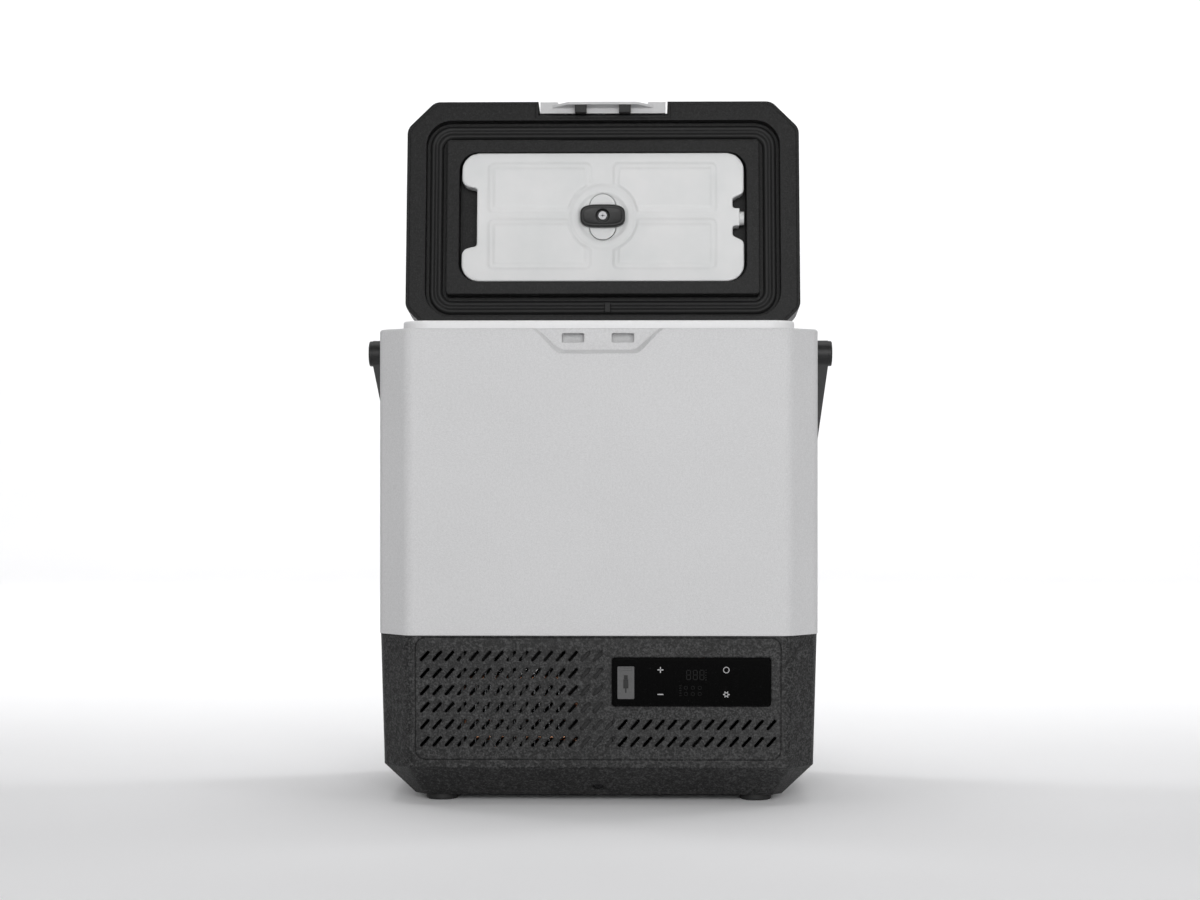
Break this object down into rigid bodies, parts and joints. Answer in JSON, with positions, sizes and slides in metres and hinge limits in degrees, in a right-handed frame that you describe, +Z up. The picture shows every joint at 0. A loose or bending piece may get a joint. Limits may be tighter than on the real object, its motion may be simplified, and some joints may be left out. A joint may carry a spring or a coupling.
{
  "type": "compressor cooler fridge",
  "caption": "Portable compressor cooler fridge with a hinged lid holding an ice pack, a folding bail handle and a vented base with a touch panel.",
  "frame": {"origin": "on the floor under the feet, at the centre of the body's footprint", "axes": "+X to the right of someone facing the control panel, +Y to the back where the lid hinges, +Z up"},
  "size_m": [0.44, 0.3358, 0.6771],
  "materials": {
    "housing_grey": "fine textured light grey moulding",
    "collar_pale": "smooth pale moulding",
    "base_black": "textured dark moulding",
    "lid_black": "fine textured dark moulding",
    "latch_grey": "satin grey moulding",
    "panel_gloss": "glossy black",
    "dark_plastic": "satin dark plastic",
    "soft_rubber": "matt rubber",
    "usb_rubber": "matt grey rubber",
    "pack_white": "translucent blow-moulded white",
    "steel": "zinc plated",
    "copper_tube": "drawn copper",
    "fin_aluminium": "mill finish",
    "can_black": "satin black enamel",
    "foam": null,
    "board_green": "printed circuit board"
  },
  "bodies": {
    "cabinet": {"upper_housing": "housing_grey", "chamber_liner": "collar_pale", "cabinet_foam": "foam", "evaporator_plate": "fin_aluminium", "bay_bulkhead": "dark_plastic", "base_housing": "base_black", "front_grille": "base_black", "rear_grille": "base_black", "control_bezel": "panel_gloss", "control_glass": "panel_gloss", "display_board": "board_green", "usb_socket": "steel", "base_tray": "base_black", "tray_screws": "steel", "rubber_feet": "soft_rubber", "feet_screws": "steel", "base_screws": "steel", "compressor_plate": "steel", "compressor_mounts": "soft_rubber", "compressor_can": "can_black", "terminal_cover": "dark_plastic", "condenser_coil": "copper_tube", "condenser_fins": "fin_aluminium", "fan_frame": "dark_plastic", "fan_screws": "steel", "filter_drier": "copper_tube", "discharge_line": "copper_tube", "suction_line": "copper_tube", "power_board": "board_green", "dc_inlet_socket": "dark_plastic", "hinge_brackets": "lid_black", "hinge_pins": "steel", "hinge_screws": "steel", "handle_pivots": "steel", "handle_washers": "dark_plastic"},
    "lid": {"lid_outer_shell": "lid_black", "lid_inner_panel": "lid_black", "lid_foam": "foam", "lid_gasket": "soft_rubber", "gasket_joint": "soft_rubber", "ice_pack": "pack_white", "ice_pack_cap": "pack_white", "retainer_boss": "pack_white", "knob_screw": "steel", "latch_pin": "steel", "latch_spring": "steel", "lid_hinge_arms": "lid_black", "lid_screws": "steel"},
    "knob": {"retainer_knob": "dark_plastic"},
    "latch": {"latch_lever": "latch_grey", "latch_hooks": "dark_plastic"},
    "handle": {"carry_handle": "dark_plastic", "handle_grip": "soft_rubber", "handle_caps": "dark_plastic"},
    "usb_flap": {"usb_cover": "usb_rubber"},
    "rotor": {"fan_rotor": "dark_plastic"}
  },
  "joints": [
    {"name": "lid_hinge", "type": "hinge", "parent": "cabinet", "child": "lid", "pos_m": [0, 0.128, 0.43], "axis": [1, 0, 0], "range_deg": [0, 97]},
    {"name": "handle_swing", "type": "hinge", "parent": "cabinet", "child": "handle", "pos_m": [0, 0, 0.412], "axis": [1, 0, 0], "range_deg": [0, 27]},
    {"name": "latch_swing", "type": "hinge", "parent": "lid", "child": "latch", "pos_m": [0, 0.19327, 0.66621], "axis": [-1, 0, 0], "range_deg": [0, 25], "stiffness_Nm_per_rad": 0.15},
    {"name": "knob_turn", "type": "hinge", "parent": "lid", "child": "knob", "pos_m": [0, 0.13764, 0.55778], "axis": [0, 0.9925, -0.1219], "range_deg": [0, 90]},
    {"name": "usb_cover_hinge", "type": "hinge", "parent": "cabinet", "child": "usb_flap", "pos_m": [0.0252, -0.12044, 0.09615], "axis": [1, 0, 0], "range_deg": [0, 110]},
    {"name": "fan_spin", "type": "hinge", "parent": "cabinet", "child": "rotor", "pos_m": [-0.072, -0.0215, 0.074], "axis": [0, 1, 0], "continuous": true}
  ]
}
